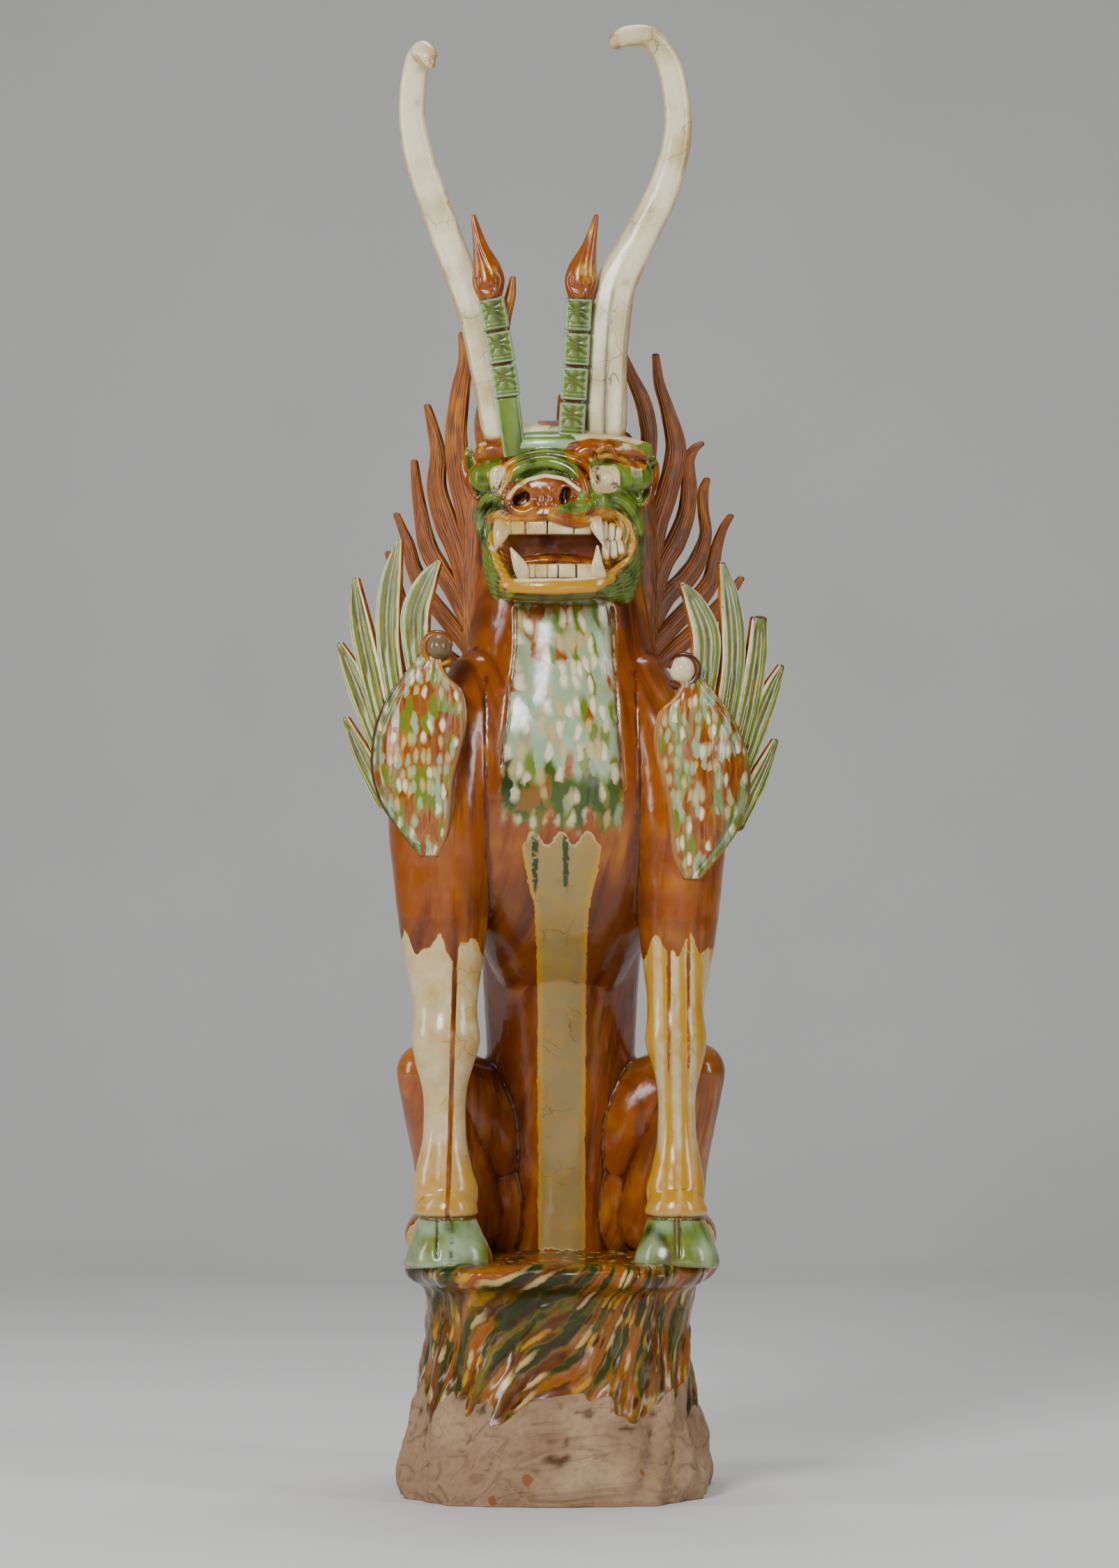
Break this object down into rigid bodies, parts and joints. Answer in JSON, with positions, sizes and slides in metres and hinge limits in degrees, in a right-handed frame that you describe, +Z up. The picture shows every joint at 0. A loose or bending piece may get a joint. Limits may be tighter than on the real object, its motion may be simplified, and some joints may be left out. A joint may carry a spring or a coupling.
{
  "type": "tomb guardian beast statue",
  "caption": "Seated horned guardian beast in three-colour glazed earthenware, with open jaws, flame mane and small wings, fired as one with its rock plinth.",
  "frame": {"origin": "on the underside of the plinth, below the middle of the figure, in its plane of symmetry", "axes": "+Z up, the beast faces -Y, +X to the right as seen from in front"},
  "size_m": [0.3657, 0.3099, 1.1999],
  "materials": {
    "glazed_earthenware": "runny amber, green and cream lead glaze over buff clay, bare at the foot of the plinth"
  },
  "bodies": {
    "root": {"tomb_guardian_beast": "glazed_earthenware"}
  },
  "joints": []
}
